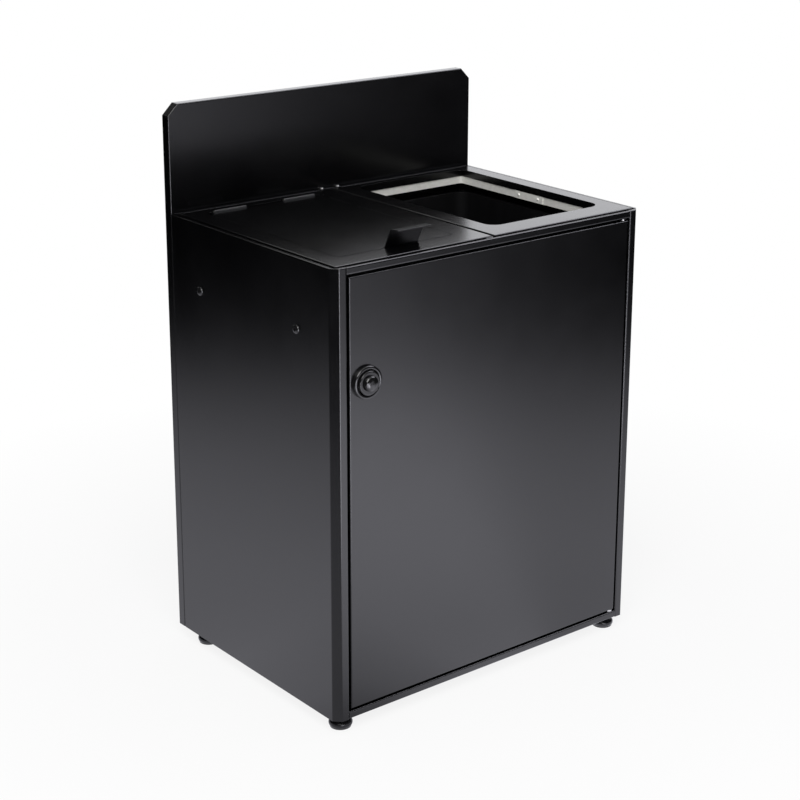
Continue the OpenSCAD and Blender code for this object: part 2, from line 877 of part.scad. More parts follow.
module back_screws() {
    color(gloss) mirrored_pair() for (i = [0:back_screws_n - 1]) {
        translate([-back_screw_x, y_pan + t, back_screw_z(i)]) rotate([-90, 0, 0]) {
            pan_screw(screw_r, 2 * t + 4);
        }
    }
}

module clip_screw_holes() {
    mirrored_pair() translate([deck_clip_l / 2 - clip_screw_in, y_pan - rim_w / 2, z_top - t - over]) {
        cylinder(t + 2 * over, r = shank_of(clip_screw_r) + screw_play, $fn = 32);
    }
}

// Plate on the rear rim that holds down the seam between the decks
module deck_clip() {
    color(coat) difference() {
        translate([-deck_clip_l / 2, y_pan - rim_w, z_top]) cube([deck_clip_l, rim_w, deck_proud]);
        translate([0, 0, deck_proud]) clip_screw_holes();
    }
}

module deck_clip_screws() {
    p = [deck_clip_l / 2 - clip_screw_in, y_pan - rim_w / 2, deck_top];
    color(steel) mirrored_pair() translate(p) pan_screw(clip_screw_r, deck_proud + t);
}

// Levelling feet

module foot_nuts() {
    color(steel) for (p = foot_spots) {
        translate([p[0], p[1], z_floor - t - foot_nut_h]) linear_extrude(foot_nut_h) difference() {
            hexagon(foot_nut_r);
            circle(thread_r + fit, $fn = 48);
        }
    }
}

module foot_pad(i) {
    translate([foot_spots[i][0], foot_spots[i][1], 0]) rotate_extrude($fn = 96) polygon(concat(
        [[thread_r, 0], [pad_r - pad_edge, 0]],
        arc([pad_r - pad_h / 2, pad_h / 2], pad_h / 2, pad_from, pad_turn, 8),
        [[pad_r - pad_h, pad_h], [thread_r, pad_h]]
    ));
}

module foot_stem(i) {
    p = foot_spots[i];
    translate([p[0], p[1], over]) {
        cylinder(z_base + stem_top - over, r = thread_r, $fn = 48);
        translate([0, 0, pad_h - over]) linear_extrude(neck_h) hexagon(hex_ratio * thread_r);
    }
}

module front_left_pad() {
    color(gloss) foot_pad(0);
}

module front_right_pad() {
    color(gloss) foot_pad(1);
}

module rear_left_pad() {
    color(gloss) foot_pad(2);
}

module rear_right_pad() {
    color(gloss) foot_pad(3);
}

module front_left_stem() {
    color(steel) foot_stem(0);
}

module front_right_stem() {
    color(steel) foot_stem(1);
}

module rear_left_stem() {
    color(steel) foot_stem(2);
}

module rear_right_stem() {
    color(steel) foot_stem(3);
}

// Door

module door_panel() {
    left = -door_w / 2;
    color(coat) difference() {
        translate([left, y_front, door_z]) cube([door_w, door_d, door_h]);
        translate([left + t, y_front + t, door_z + t]) cube([door_w - 2 * t, door_d - 2 * t, door_h - 2 * t]);
        translate([left + door_hem, y_front + door_d - t - over, door_z + door_hem]) {
            cube([door_w - 2 * door_hem, t + 2 * over, door_h - 2 * door_hem]);
        }
        along_z(door_z - over, door_h + 2 * over) mirrored_pair() {
            translate([left, y_front]) rotate(90) edge_cut(edge_r);
        }
        along_x(left - over, door_w + 2 * over) {
            translate([y_front, door_z + door_h]) edge_cut(edge_r);
            translate([y_front, door_z]) mirror([0, 1]) edge_cut(edge_r);
        }
        rod_y([knob[0], y_front - over, knob[2]], barrel_r + barrel_wall + screw_play, t + 2 * over, 96);
        for (z = [door_z - over, door_z + door_h - t - over]) {
            translate([pivot[0], pivot[1], z]) cylinder(t + 2 * over, r = pivot_r + screw_play, $fn = 48);
        }
    }
}

// Hat section up the middle of the door
module door_stiffener() {
    skin = y_front + t + m;
    ridge = y_front + door_d - t - m;
    color(coat) along_z(door_z + door_hem, door_h - 2 * door_hem) fold([
        [-rib_w / 2, skin], [-rib_w / 4, skin], [-rib_w / 4, ridge],
        [rib_w / 4, ridge], [rib_w / 4, skin], [rib_w / 2, skin]
    ]);
}

// Pivot pin with a collar inside the door, along +Z from the outer face of the door's return
module pivot_pin() {
    translate([0, 0, -pin_root]) cylinder(pin_root + door_gap + t + bush_over, r = pivot_r, $fn = 48);
    translate([0, 0, -t - pin_collar_h]) cylinder(pin_collar_h, r = pivot_in - t - play, $fn = 48);
}

module upper_pivot_pin() {
    color(steel) translate([pivot[0], pivot[1], door_z + door_h]) pivot_pin();
}

module lower_pivot_pin() {
    color(steel) translate([pivot[0], pivot[1], door_z]) mirror([0, 0, 1]) pivot_pin();
}

// Flanged bush along +Z from the face of the rail that it stands in
module bush() {
    difference() {
        union() {
            translate([0, 0, -bush_flange_t]) cylinder(bush_flange_t, r = bush_flange_r, $fn = 64);
            cylinder(t + bush_over, r = bush_r, $fn = 64);
        }
        translate([0, 0, -bush_flange_t - over]) {
            cylinder(bush_flange_t + t + bush_over + 2 * over, r = pivot_r + fit, $fn = 64);
        }
    }
}

module upper_bush() {
    color(nylon) translate([pivot[0], pivot[1], z_top - header_h]) bush();
}

module lower_bush() {
    color(nylon) translate([pivot[0], pivot[1], z_floor]) mirror([0, 0, 1]) bush();
}

// Thrust washer that carries the door on the lower bush
module pivot_washer() {
    color(steel) translate([pivot[0], pivot[1], z_floor + bush_flange_t]) difference() {
        cylinder(door_gap - bush_flange_t - play, r = bush_flange_r, $fn = 64);
        translate([0, 0, -over]) cylinder(door_gap + 2 * over, r = pivot_r + fit, $fn = 64);
    }
}

module door_bumpers() {
    gap = stop_y - door_d - play;
    color(rubber) for (z = [door_z + bumper_in, door_z + door_h - bumper_in]) {
        turned_y([-x_out + stile_w + stop_w - bumper_r - margin, y_stop - gap, z], 48) {
            polygon(concat([[0, gap], [0, 0]], arc([bumper_r - gap / 2, gap / 2], gap / 2, -90, 90, 4),
                [[bumper_r, gap]]));
        }
    }
}

// Knob and latch

// Bulged ring on the door with a barrel that passes through it
module knob_bezel() {
    bulge = bezel_r - barrel_r;
    color(gloss) turned_y(knob) polygon(concat(
        [[barrel_r, barrel_d]],
        [for (a = [180:-15:0]) [barrel_r + bulge * (1 + cos(a)) / 2, -bezel_h * (1 + sin(a)) / 2]],
        [[bezel_r, 0], [barrel_r + barrel_wall, 0], [barrel_r + barrel_wall, barrel_d]]
    ));
}

module bezel_nut() {
    color(steel) turned_y([knob[0], y_front + t, knob[2]]) {
        translate([barrel_r + barrel_wall + screw_play, 0]) square([bezel_nut_wall, bezel_nut_t]);
    }
}

module lock_case() {
    y = y_front + barrel_d;
    color(steel) difference() {
        translate([case_left, y, knob[2] - case_h / 2]) cube([case_w, case_d, case_h]);
        translate([case_left + t, y + t, knob[2] - case_h / 2 + t]) {
            cube([case_w - 2 * t, case_d - 2 * t, case_h - 2 * t]);
        }
        rod_y([knob[0], y - over, knob[2]], stem_r + fit, t + 2 * over);
        translate([case_left - over, bolt_y - play, bolt_zc - bolt_h / 2 - play]) {
            cube([t + 2 * over, bolt_t + 2 * play, bolt_h + 2 * play]);
        }
    }
}

// Collar, neck and dome, with the stem that works the latch
module push_knob() {
    tip = -knob_stand;
    neck = tip + dome_h;
    face = neck + groove_h;
    stem_end = barrel_d + t + stem_over;
    color(gloss) turned_y(knob) polygon(concat(
        [[0, stem_end], [0, tip]],
        [for (a = [15:15:90]) [dome_r * sin(a), tip + (dome_h - neck_in) * (1 - cos(a))]],
        [[dome_r - neck_in, neck], [dome_r - neck_in, face]],
        arc([collar_r - collar_edge, face + collar_edge], collar_edge, -90, 90, round_steps),
        [[collar_r, collar_back], [stem_r, collar_back], [stem_r, stem_end]]
    ));
}

// Compression spring between the case and the knob's collar, as one coiled wire
module knob_spring() {
    from = collar_back + spring_wire / 2 + play;
    to = barrel_d - spring_wire / 2 - play;
    n = wire_n;
    rings = spring_n * spring_turns;
    points = [for (i = [0:rings]) let (a = 360 * i / spring_n, y = from + (to - from) * i / rings)
        for (k = [0:n - 1]) let (r = spring_r + spring_wire / 2 * cos(360 * k / n))
            [r * cos(a), y + spring_wire / 2 * sin(360 * k / n), r * sin(a)]];
    sides = [for (i = [0:rings - 1]) for (k = [0:n - 1]) let (a = i * n + k, b = i * n + (k + 1) % n)
        each [[a, b, b + n], [a, b + n, a + n]]];
    ends = [[for (k = [n - 1:-1:0]) k], [for (k = [0:n - 1]) rings * n + k]];
    color(steel) translate(knob) polyhedron(points, concat(sides, ends), convexity = 6);
}

module latch_bolt() {
    color(steel) difference() {
        translate([case_left + play, bolt_y, bolt_zc - bolt_h / 2]) cube([bolt_l, bolt_t, bolt_h]);
        translate([case_left + play, bolt_y + bolt_t, bolt_zc - bolt_h]) rotate([0, 0, -bolt_bevel]) {
            cube([bolt_t, bolt_t, 2 * bolt_h]);
        }
    }
}

// Wear plate behind the door stop, where the bolt bears
module strike_plate() {
    left = -x_out + stile_w;
    color(steel) translate([left, y_stop + t, bolt_zc - 2 * bolt_h]) cube([stop_w, strike_t, 4 * bolt_h]);
}

// Lid

module lid_outline(d) {
    translate([-throat_x, lid_y + lid_d / 2]) {
        polygon(rounded_rect(lid_w - 2 * d, lid_d - 2 * d, lid_r - d));
    }
}

module lid_panel() {
    color(coat) difference() {
        along_z(deck_top - lid_edge, lid_edge) lid_outline(0);
        along_z(deck_top - lid_edge - over, lid_edge + over - t) lid_outline(t);
        translate([grip_x - play, lid_y - over, deck_top - lid_edge - over]) {
            cube([grip_w + 2 * play, notch_d + over, lid_edge + 2 * over]);
        }
    }
}

// Folded pull: a foot under the lid, a leaning face and a lip towards the user
module lid_handle() {
    y = lid_y + play + m;
    color(coat) along_x(grip_x, grip_w) fold([
        [lid_y + grip_foot, deck_top - t - m], [y, deck_top - t - m],
        [y - grip_lean, deck_top + grip_h - m], [y - grip_lean - grip_lip, deck_top + grip_h - m + grip_rise]
    ]);
}

// Knuckles first, first + 2, ... of one hinge, along +X from its left end
module knuckle_row(first) {
    pitch = hinge_l / knuckles;
    for (i = [first:2:knuckles - 1]) {
        translate([i * pitch + play / 2, 0, 0]) rotate([0, 90, 0]) {
            cylinder(pitch - play, r = knuckle_r, $fn = 48);
        }
    }
}

// One leaf with its knuckles: side is -1 for the lid's leaf and 1 for the deck's
module hinge_leaf(side, first) {
    pitch = hinge_l / knuckles;
    low = deck_top - lid_edge;
    reach = hinge_gap / 2;
    face = side > 0 ? reach - leaf_t : -reach;
    web = side > 0 ? 0 : -reach;
    for (x = hinge_x) translate([x, hinge_y, 0]) difference() {
        union() {
            translate([play / 2, face, low]) cube([hinge_l - play, leaf_t, hinge_z - low]);
            translate([0, 0, hinge_z]) knuckle_row(first);
            for (i = [first:2:knuckles - 1]) {
                translate([i * pitch + play / 2, web, hinge_z - knuckle_r]) {
                    cube([pitch - play, reach, knuckle_r]);
                }
            }
        }
        translate([-over, 0, hinge_z]) rotate([0, 90, 0]) {
            cylinder(hinge_l + 2 * over, r = hinge_pin_r + fit, $fn = 48);
        }
    }
}

module fixed_hinge_leaves() {
    color(coat) hinge_leaf(1, 0);
}

module lid_hinge_leaves() {
    color(coat) hinge_leaf(-1, 1);
}

module lid_hinge_pins() {
    color(steel) for (x = hinge_x) {
        translate([x, hinge_y, hinge_z]) rotate([0, 90, 0]) cylinder(hinge_l, r = hinge_pin_r, $fn = 48);
    }
}

module lid_bumpers() {
    dx = well_w / 2 - lid_ledge / 2;
    color(rubber) for (x = [-dx, dx]) for (y = [lid_y + lid_bumper_in, lid_back - lid_bumper_in]) {
        translate([x - throat_x, y, z_lid_ledge]) cylinder(lid_bumper_h, r = lid_bumper_r, $fn = 48);
    }
}

left_side_panel();
right_side_panel();
back_panel();
back_stiffener();
base_panel();
sill_rail();
header_rail();
rear_rail();
centre_rail();
left_deck();
right_deck();
left_collar();
right_collar();
collar_clips();
collar_rivets();
left_liner();
right_liner();
left_guide_rail();
right_guide_rail();
side_bolts();
side_nuts();
back_screws();
deck_clip();
deck_clip_screws();
strike_plate();
door_bumpers();
lid_bumpers();
fixed_hinge_leaves();
lid_hinge_pins();
upper_bush();
lower_bush();
pivot_washer();
foot_nuts();
door_panel();
door_stiffener();
upper_pivot_pin();
lower_pivot_pin();
knob_bezel();
bezel_nut();
lock_case();
knob_spring();
push_knob();
latch_bolt();
lid_panel();
lid_handle();
lid_hinge_leaves();
front_left_pad();
front_right_pad();
rear_left_pad();
rear_right_pad();
front_left_stem();
front_right_stem();
rear_left_stem();
rear_right_stem();
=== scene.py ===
"""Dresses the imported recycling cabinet: satin powder coat, steel, plastics and a plain pale studio.

Everything is in metres in the frame's own axes: +Z up, the door towards -Y, the open throat towards +X.
"""

import json
import math

import bpy
from mathutils import Matrix, Vector

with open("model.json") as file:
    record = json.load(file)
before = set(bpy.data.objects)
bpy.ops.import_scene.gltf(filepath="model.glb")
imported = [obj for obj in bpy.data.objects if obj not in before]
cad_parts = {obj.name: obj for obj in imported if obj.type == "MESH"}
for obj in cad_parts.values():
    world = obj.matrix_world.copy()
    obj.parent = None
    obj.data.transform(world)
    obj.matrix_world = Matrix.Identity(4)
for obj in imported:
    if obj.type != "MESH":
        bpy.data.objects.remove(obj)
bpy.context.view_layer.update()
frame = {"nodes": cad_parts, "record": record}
nodes = frame["nodes"]

# Camera, as fitted to the straight edges of the cabinet
CAMERA_AZIMUTH = -39.82
CAMERA_ELEVATION = 16.7
CAMERA_ROLL = 0.49
CAMERA_DISTANCE = 2.7504
CAMERA_TARGET = (-0.11, -0.21125, 0.6197)
FOCAL_PIXELS = 1865.8
IMAGE_SIZE = 800
AXIS_PIXEL = (440, 320)
SENSOR = 36.0
CLIP_NEAR = 0.05
CLIP_FAR = 60

# Range that most of a noise lies in
NOISE_LOW = 0.3
NOISE_HIGH = 0.7

# Powder coat: colours, radius that its edges are softened by, and lowest and highest roughness
COAT_DARK = (0.0005, 0.0005, 0.0007)
COAT_PALE = (0.0045, 0.0046, 0.005)
COAT_IOR = 1.55
FOLD_RADIUS = 0.001
CUT_RADIUS = 0.00025
HINGE_RADIUS = 0.0003
SATIN = (0.2, 0.24)
MATT = (0.5, 0.6)

# Floor: white to the camera and to reflections, but for a share of its shadow near the object
FLOOR_RADIUS = 14.0
FLOOR_COLOUR = (0.86, 0.86, 0.86, 1)
SHADOW_REACH = (0.55, 1.3)
WHITE_NEAR = 0.86
WORLD_LEVEL = 0.3

# Card on the floor that only reflections meet: levels against metres out
CARD_RADIUS = 6.0
CARD_FLAT = 4.5
CARD_HEIGHT = 0.002
CARD_TURN_UP = 0.6
CARD_RINGS = 24
CARD_TINT = (0.97, 0.965, 1.06, 1)
CARD_NEAR = [
    (0.5, 1.23), (0.7, 1.27), (0.95, 1.18), (1.22, 1.04), (1.55, 0.7), (1.85, 0.28), (2.1, 0.07), (2.35, 0)]
CARD_RISE = [
    (0.4, 0.3), (0.7, 0.55), (0.95, 0.76), (1.25, 1), (1.8, 0.98), (2.08, 0.8), (2.36, 0.58), (2.8, 0.65),
    (3.4, 1.2), (4.0, 1.35), (4.4, 1.1), (4.8, 0.95)]
CARD_STRIP_RISE = [(0.8, 0), (1.35, 1)]

# The same card: levels against degrees round from the front, positive towards the open throat
CARD_ROUND = [
    (-140, 0.66), (-105, 0.84), (-75, 0.75), (-50, 0.45), (-30, 0.6), (0, 1), (60, 1), (100, 0.65)]
CARD_LOBE = [
    (-46, 0), (-28, 1.1), (22, 1.12), (26, 1.03), (30, 0.87), (32, 0.66), (34, 0.38), (36, 0.22), (38, 0.12),
    (40, 0.05), (43, 0)]
CARD_STRIP = [(-32, 0), (-26, 7), (-8, 7), (-2, 0)]

# Black surround that only reflections meet, open behind, with a pale patch high at the right front
SURROUND_RADIUS = 6.8
SURROUND_FROM = -170
SURROUND_TO = 95
SURROUND_COLUMNS = 48
SURROUND_ROWS = 12
PATCH_LEVEL = 5
PATCH_TURN = [(48, 0), (60, 1)]
PATCH_CLIMB = [(30, 0), (38, 1), (62, 1), (72, 0)]


def new_material(name):
    """A node material with its Principled shader and its texture coordinates."""
    material = bpy.data.materials.new(name)
    material.use_nodes = True
    tree = material.node_tree
    shader = tree.nodes["Principled BSDF"]
    coords = tree.nodes.new("ShaderNodeTexCoord")
    return material, tree, shader, coords.outputs["Object"]


def noise(tree, vector, scale, detail=2.0, roughness=0.5, stretch=None):
    """Noise of a given number of cycles a metre, stretched along the axes if asked."""
    if stretch:
        mapping = tree.nodes.new("ShaderNodeMapping")
        mapping.inputs["Scale"].default_value = stretch
        tree.links.new(vector, mapping.inputs["Vector"])
        vector = mapping.outputs["Vector"]
    node = tree.nodes.new("ShaderNodeTexNoise")
    node.inputs["Scale"].default_value = scale
    node.inputs["Detail"].default_value = detail
    node.inputs["Roughness"].default_value = roughness
    tree.links.new(vector, node.inputs["Vector"])
    return node.outputs["Fac"]


def remap(tree, value, from_min, from_max, to_min, to_max):
    """Value carried from one range to another, and held inside it."""
    node = tree.nodes.new("ShaderNodeMapRange")
    node.inputs["From Min"].default_value = from_min
    node.inputs["From Max"].default_value = from_max
    node.inputs["To Min"].default_value = to_min
    node.inputs["To Max"].default_value = to_max
    tree.links.new(value, node.inputs["Value"])
    return node.outputs["Result"]


def spread(tree, value, low, high):
    """Noise spread over a range."""
    return remap(tree, value, NOISE_LOW, NOISE_HIGH, low, high)


def math_node(tree, operation, a, b=0):
    """One arithmetic step on two values, each a socket or a number."""
    node = tree.nodes.new("ShaderNodeMath")
    node.operation = operation
    for socket, value in zip(node.inputs, (a, b)):
        if isinstance(value, (int, float)):
            socket.default_value = value
        else:
            tree.links.new(value, socket)
    return node.outputs["Value"]


def times(tree, a, b):
    """Product of two values."""
    return math_node(tree, "MULTIPLY", a, b)


def total(tree, first, *others):
    """Sum of two values or more."""
    for value in others:
        first = math_node(tree, "ADD", first, value)
    return first


def blend_colour(tree, fac, a, b):
    """Colour a where fac is 0 and b where it is 1."""
    node = tree.nodes.new("ShaderNodeMix")
    node.data_type = "RGBA"
    tree.links.new(fac, node.inputs["Factor"])
    node.inputs["A"].default_value = (*a, 1)
    node.inputs["B"].default_value = (*b, 1)
    return node.outputs["Result"]


def bump(tree, height, distance, strength, under=None):
    """Bump of a real height in metres, laid over another normal if asked."""
    node = tree.nodes.new("ShaderNodeBump")
    node.inputs["Distance"].default_value = distance
    node.inputs["Strength"].default_value = strength
    tree.links.new(height, node.inputs["Height"])
    if under is not None:
        tree.links.new(under, node.inputs["Normal"])
    return node.outputs["Normal"]


def soft_edges(tree, radius):
    """Normal that rounds the sharp edges."""
    bevel = tree.nodes.new("ShaderNodeBevel")
    bevel.samples = 6
    bevel.inputs["Radius"].default_value = radius
    return bevel.outputs["Normal"]


def edge_mask(tree, normal):
    """1 on the edges that the given normal rounds, and 0 elsewhere."""
    geometry = tree.nodes.new("ShaderNodeNewGeometry")
    dot = tree.nodes.new("ShaderNodeVectorMath")
    dot.operation = "DOT_PRODUCT"
    tree.links.new(normal, dot.inputs[0])
    tree.links.new(geometry.outputs["Normal"], dot.inputs[1])
    return remap(tree, dot.outputs["Value"], 0.995, 0.85, 0, 1)


def powder_coat(name, edge_radius, roughness):
    """Black powder coat: fine orange peel, cloudy gloss, paler where it thins over the edges."""
    material, tree, shader, place = new_material(name)
    normal = soft_edges(tree, edge_radius)
    edge = edge_mask(tree, normal)
    cloud = noise(tree, place, 9, 4, 0.6)
    peel = noise(tree, place, 850, 3, 0.55)
    grain = noise(tree, place, 2600, 2, 0.5)
    dust = remap(tree, noise(tree, place, 420, 6, 0.7), 0.72, 0.78, 0, 1)
    shade = total(
        tree,
        spread(tree, cloud, 0, 0.25),
        remap(tree, grain, 0.4, 0.8, 0, 0.25),
        times(tree, dust, 0.5),
        times(tree, edge, 0.9))
    tree.links.new(blend_colour(tree, shade, COAT_DARK, COAT_PALE), shader.inputs["Base Color"])
    rough = total(tree, spread(tree, cloud, *roughness), times(tree, edge, 0.06))
    tree.links.new(rough, shader.inputs["Roughness"])
    shader.inputs["IOR"].default_value = COAT_IOR
    rolled = bump(tree, peel, 0.00002, 0.35, normal)
    tree.links.new(bump(tree, grain, 0.000006, 0.5, rolled), shader.inputs["Normal"])
    return material


def strip_steel():
    """Bright strip of the collars: drawn lines along the strip and a faint spangle."""
    material, tree, shader, place = new_material("bright_strip")
    normal = soft_edges(tree, 0.0003)
    lines = noise(tree, place, 60, 3, 0.6, stretch=(1, 1, 90))
    spangle = noise(tree, place, 140, 1, 0.4)
    shade = total(tree, spread(tree, lines, 0, 0.5), remap(tree, spangle, 0.35, 0.65, 0, 0.5))
    colour = blend_colour(tree, shade, (0.86, 0.855, 0.81), (0.95, 0.945, 0.9))
    tree.links.new(colour, shader.inputs["Base Color"])
    shader.inputs["Metallic"].default_value = 0.4
    tree.links.new(remap(tree, lines, 0.25, 0.75, 0.48, 0.62), shader.inputs["Roughness"])
    tree.links.new(bump(tree, lines, 0.00001, 0.6, normal), shader.inputs["Normal"])
    return material


def zinc():
    """Zinc plate with its cloudy passivation."""
    material, tree, shader, place = new_material("zinc_plate")
    normal = soft_edges(tree, 0.0003)
    cloud = noise(tree, place, 260, 4, 0.6)
    colour = blend_colour(tree, cloud, (0.46, 0.47, 0.5), (0.7, 0.69, 0.64))
    tree.links.new(colour, shader.inputs["Base Color"])
    shader.inputs["Metallic"].default_value = 1
    tree.links.new(spread(tree, cloud, 0.3, 0.48), shader.inputs["Roughness"])
    tree.links.new(bump(tree, cloud, 0.00002, 0.4, normal), shader.inputs["Normal"])
    return material


def gloss_plastic(name, dark, pale, roughness):
    """Glossy black moulding with faint flow marks and hairline scuffs."""
    material, tree, shader, place = new_material(name)
    normal = soft_edges(tree, 0.0004)
    edge = edge_mask(tree, normal)
    flow = noise(tree, place, 70, 3, 0.5)
    scuff = remap(tree, noise(tree, place, 900, 5, 0.7, stretch=(1, 0.15, 1)), 0.62, 0.7, 0, 1)
    shade = total(tree, times(tree, scuff, 0.5), times(tree, edge, 0.4))
    tree.links.new(blend_colour(tree, shade, dark, pale), shader.inputs["Base Color"])
    rough = total(tree, spread(tree, flow, *roughness), times(tree, scuff, 0.08))
    tree.links.new(rough, shader.inputs["Roughness"])
    tree.links.new(bump(tree, flow, 0.00006, 0.2, normal), shader.inputs["Normal"])
    return material


def liner_plastic_painted_shade():
    """Black polyethylene, coloured far darker than its own to paint the shade deep in the bins, with a fine
    moulded texture and streaks down the walls.
    """
    material, tree, shader, place = new_material("liner_polyethylene_painted_shade")
    normal = soft_edges(tree, 0.0012)
    pebble = noise(tree, place, 700, 2, 0.5)
    streak = noise(tree, place, 24, 4, 0.6, stretch=(1, 1, 0.08))
    # Painted shade: both colours lie far below black polyethylene's own, standing for the shade deep inside
    # the bins; the low specular level below dims them too
    colour = blend_colour(tree, streak, (0.0015, 0.0015, 0.0017), (0.005, 0.005, 0.0055))
    tree.links.new(colour, shader.inputs["Base Color"])
    shader.inputs["Specular IOR Level"].default_value = 0.12
    tree.links.new(spread(tree, streak, 0.42, 0.58), shader.inputs["Roughness"])
    tree.links.new(bump(tree, pebble, 0.00008, 0.5, normal), shader.inputs["Normal"])
    return material


def soft_rubber():
    """Matt black rubber with bloom."""
    material, tree, shader, place = new_material("bumper_rubber")
    bloom = noise(tree, place, 500, 4, 0.6)
    colour = blend_colour(tree, bloom, (0.012, 0.012, 0.012), (0.04, 0.04, 0.04))
    tree.links.new(colour, shader.inputs["Base Color"])
    tree.links.new(spread(tree, bloom, 0.7, 0.9), shader.inputs["Roughness"])
    tree.links.new(bump(tree, bloom, 0.00005, 0.4), shader.inputs["Normal"])
    return material


def bush_nylon():
    """Black nylon, faintly mottled."""
    material, tree, shader, place = new_material("bush_nylon")
    mottle = noise(tree, place, 600, 3, 0.5)
    colour = blend_colour(tree, mottle, (0.008, 0.008, 0.008), (0.022, 0.022, 0.022))
    tree.links.new(colour, shader.inputs["Base Color"])
    tree.links.new(spread(tree, mottle, 0.35, 0.5), shader.inputs["Roughness"])
    tree.links.new(bump(tree, mottle, 0.00003, 0.3), shader.inputs["Normal"])
    return material


def dress_nodes():
    """Gives every CAD node the material of its slot, and a few sheet pieces a coat of their own."""
    by_slot = {
        "black_coat": powder_coat("satin_powder_coat", FOLD_RADIUS, SATIN),
        "bright_steel": strip_steel(),
        "zinc_steel": zinc(),
        "gloss_black": gloss_plastic("knob_gloss", (0.006, 0.006, 0.0065), (0.03, 0.03, 0.032), (0.12, 0.18)),
        "foot_black": gloss_plastic("foot_gloss", (0.008, 0.008, 0.009), (0.035, 0.035, 0.037), (0.2, 0.28)),
        "liner_black": liner_plastic_painted_shade(),
        "rubber": soft_rubber(),
        "nylon": bush_nylon(),
    }
    crisp_coat = powder_coat("satin_powder_coat_crisp", CUT_RADIUS, SATIN)
    matt_coat = powder_coat("matt_powder_coat", HINGE_RADIUS, MATT)
    by_node = {
        "left_deck": crisp_coat,
        "right_deck": crisp_coat,
        "lid_panel": crisp_coat,
        "fixed_hinge_leaves": matt_coat,
        "lid_hinge_leaves": matt_coat,
    }
    for part in frame["record"]["subparts"]:
        slots = nodes[part["node"]].data.materials
        slots.clear()
        slots.append(by_node.get(part["node"], by_slot[part["material_slot"]]))


def make_camera():
    """Camera at the photograph's viewing angle."""
    azimuth = math.radians(CAMERA_AZIMUTH)
    elevation = math.radians(CAMERA_ELEVATION)
    level = math.cos(elevation)
    back = Vector((math.sin(azimuth) * level, -math.cos(azimuth) * level, math.sin(elevation)))
    right = Vector((math.cos(azimuth), math.sin(azimuth), 0))
    up = back.cross(right)
    data = bpy.data.cameras.new("camera")
    data.sensor_width = SENSOR
    data.lens = FOCAL_PIXELS * SENSOR / IMAGE_SIZE
    data.shift_x = (IMAGE_SIZE / 2 - AXIS_PIXEL[0]) / IMAGE_SIZE
    data.shift_y = (AXIS_PIXEL[1] - IMAGE_SIZE / 2) / IMAGE_SIZE
    data.clip_start = CLIP_NEAR
    data.clip_end = CLIP_FAR
    camera = bpy.data.objects.new("camera", data)
    turn = Matrix((right, up, back)).transposed() @ Matrix.Rotation(math.radians(CAMERA_ROLL), 3, "Z")
    camera.matrix_world = Matrix.Translation(Vector(CAMERA_TARGET) + back * CAMERA_DISTANCE) @ turn.to_4x4()
    bpy.context.scene.collection.objects.link(camera)
    bpy.context.scene.camera = camera


def area_light(name, place, aim, size, power, tint=(1, 1, 1)):
    """Rectangular softbox at a place, facing a point."""
    data = bpy.data.lights.new(name, "AREA")
    data.shape = "RECTANGLE"
    data.size, data.size_y = size
    data.energy = power
    data.color = tint
    light = bpy.data.objects.new(name, data)
    light.location = place
    light.rotation_mode = "QUATERNION"
    light.rotation_quaternion = (Vector(aim) - Vector(place)).to_track_quat("-Z", "Y")
    bpy.context.scene.collection.objects.link(light)


def mesh_object(name, points, faces):
    """Object with a mesh of the given points and faces."""
    mesh = bpy.data.meshes.new(name)
    mesh.from_pydata(points, [], faces)
    obj = bpy.data.objects.new(name, mesh)
    bpy.context.scene.collection.objects.link(obj)
    return obj


def disc(name, radius, height, rings=1, steps=96):
    """Flat disc over the floor with a pinhole at its middle, as a mesh of rings."""
    pinhole = 0.0001
    points = []
    for i in range(rings + 1):
        reach = pinhole + (radius - pinhole) * i / rings
        for k in range(steps):
            turn = 2 * math.pi * k / steps
            points.append((reach * math.cos(turn), reach * math.sin(turn), height))
    faces = []
    for i in range(rings):
        for k in range(steps):
            a = i * steps + k
            b = i * steps + (k + 1) % steps
            faces.append((a, a + steps, b + steps, b))
    return mesh_object(name, points, faces)


def meets_background(tree):
    """1 for camera, glossy and transmission rays, which all meet the white background."""
    path = tree.nodes.new("ShaderNodeLightPath")
    seen = math_node(tree, "MAXIMUM", path.outputs["Is Camera Ray"], path.outputs["Is Glossy Ray"])
    return math_node(tree, "MAXIMUM", seen, path.outputs["Is Transmission Ray"])


def ramp(tree, value, low, high, stops):
    """Level read off a list of places between low and high."""
    node = tree.nodes.new("ShaderNodeValToRGB")
    elements = node.color_ramp.elements
    while len(elements) < len(stops):
        elements.new(0.5)
    for element, (place, level) in zip(elements, stops):
        element.position = (place - low) / (high - low)
        element.color = (level, level, level, 1)
    tree.links.new(remap(tree, value, low, high, 0, 1), node.inputs["Fac"])
    return node.outputs["Color"]


def by_turn(tree, turn, stops):
    """Level read off a list of degrees round from the front."""
    return ramp(tree, turn, -180, 180, stops)


def by_radius(tree, radius, stops):
    """Level read off a list of metres out on the card."""
    return ramp(tree, radius, 0, CARD_RADIUS, stops)


def stage_for_reflections(obj, level):
    """Stages an object that only reflections meet, and gives it its light."""
    material = bpy.data.materials.new(obj.name)
    material.use_nodes = True
    tree = material.node_tree
    tree.nodes.remove(tree.nodes["Principled BSDF"])
    glow = tree.nodes.new("ShaderNodeEmission")
    glow.inputs["Color"].default_value = CARD_TINT
    tree.links.new(level(tree), glow.inputs["Strength"])
    tree.links.new(glow.outputs["Emission"], tree.nodes["Material Output"].inputs["Surface"])
    obj.data.materials.append(material)
    obj.visible_camera = False
    obj.visible_diffuse = False
    obj.visible_transmission = False
    obj.visible_shadow = False


